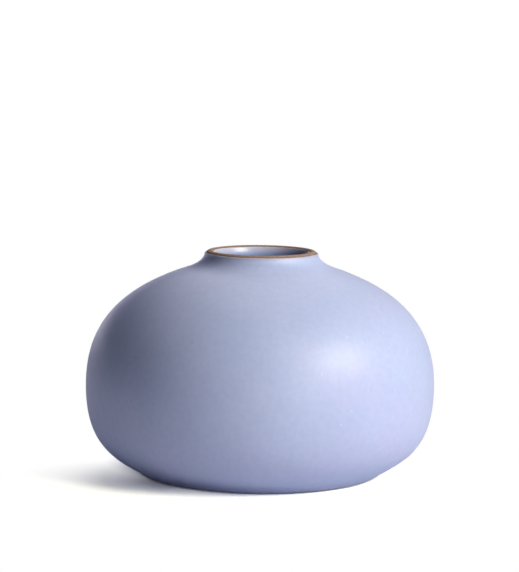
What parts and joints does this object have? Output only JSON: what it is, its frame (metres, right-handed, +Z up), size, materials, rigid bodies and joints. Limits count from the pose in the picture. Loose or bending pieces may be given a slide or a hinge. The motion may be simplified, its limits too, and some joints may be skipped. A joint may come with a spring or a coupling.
{
  "type": "pillow vase",
  "caption": "Squat hollow stoneware vase with a low foot, a full rounded belly and a short neck with a narrow round mouth, for water and flower stems.",
  "frame": {"origin": "on the floor, at the centre of the foot ring", "axes": "+Z up along the axis that the whole vase is turned round, from the foot to the mouth; X and Y are alike"},
  "size_m": [0.14, 0.14, 0.0894],
  "materials": {
    "bare_stoneware": "bare fired brown stoneware, fine sandy grain, sponged smooth at the lip and foot",
    "satin_glaze": "satin-matte periwinkle glaze, faintly mottled, with small pinholes",
    "gloss_lining": "gloss periwinkle lining glaze"
  },
  "bodies": {
    "root": {"stoneware_body": "bare_stoneware", "outside_glaze": "satin_glaze", "lining_glaze": "gloss_lining"}
  },
  "joints": []
}
